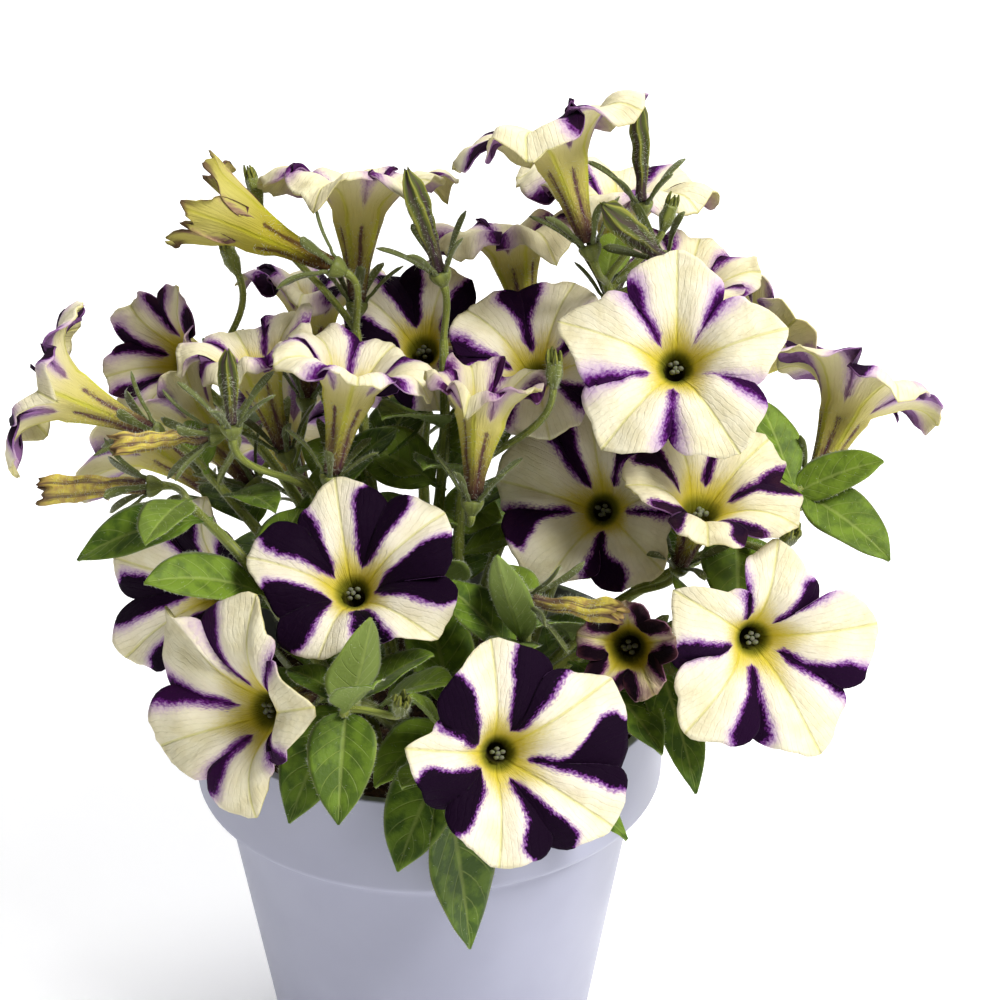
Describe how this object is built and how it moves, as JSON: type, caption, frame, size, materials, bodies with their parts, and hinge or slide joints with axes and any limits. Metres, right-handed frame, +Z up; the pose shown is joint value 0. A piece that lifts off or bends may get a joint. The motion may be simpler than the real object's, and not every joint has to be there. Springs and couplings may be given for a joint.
{
  "type": "potted flowering plant",
  "caption": "Bushy petunia in a tapered round pot: two-coloured trumpet blooms, rolled buds and oval leaves on leafy stems standing in the soil.",
  "frame": {"origin": "centre of the pot's flat base", "axes": "+Z up along the pot's axis, -Y towards the front of the plant"},
  "size_m": [0.2432, 0.2031, 0.2771],
  "materials": {
    "pot_plastic": "satin",
    "potting_soil": "matte, damp and crumbly",
    "leaf_green": "soft and hairy",
    "petal": "soft satin",
    "faded_petal": "dull"
  },
  "bodies": {
    "root": {"pot": "pot_plastic", "soil": "potting_soil", "stem_front": "leaf_green", "stem_front_left": "leaf_green", "stem_left_low": "leaf_green", "stem_left": "leaf_green", "stem_crown_left": "leaf_green", "stem_crown": "leaf_green", "stem_crown_right": "leaf_green", "stem_right_high": "leaf_green", "stem_right": "leaf_green", "stem_front_right": "leaf_green", "stem_front_middle": "leaf_green", "stem_middle": "leaf_green", "stem_middle_left": "leaf_green", "stem_front_bloom": "leaf_green", "stem_back_left": "leaf_green", "stem_back": "leaf_green", "stem_back_right": "leaf_green", "bloom_crown_right_face": "petal", "bloom_middle_face": "petal", "bloom_right_face": "petal", "bloom_front_face": "petal", "bloom_front_left_face": "petal", "bloom_left_low": "petal", "bloom_left_front": "petal", "bloom_left_back": "petal", "bloom_below_crown": "petal", "bloom_left_side": "petal", "bloom_top": "petal", "bloom_top_back": "petal", "bloom_crown_left": "petal", "bloom_crown": "petal", "bloom_right_side": "petal", "bloom_upper_left": "petal", "bloom_left_shoulder": "petal", "bloom_behind_left": "petal", "bloom_dark_back": "petal", "bloom_left_upper": "petal", "bloom_young": "petal", "bloom_middle_back": "petal", "bloom_behind_crown": "petal", "bloom_right_back": "petal", "bloom_back_left_side": "petal", "bloom_back_left": "petal", "bloom_back_face": "petal", "bloom_back_right": "petal", "bloom_back_right_side": "petal", "bloom_wilting_face": "faded_petal", "bloom_wilting_top": "faded_petal", "rolled_left": "faded_petal", "rolled_left_upper": "faded_petal", "rolled_crown": "faded_petal", "rolled_top": "faded_petal", "rolled_crown_right": "faded_petal", "rolled_pair": "faded_petal", "rolled_front": "faded_petal"}
  },
  "joints": []
}
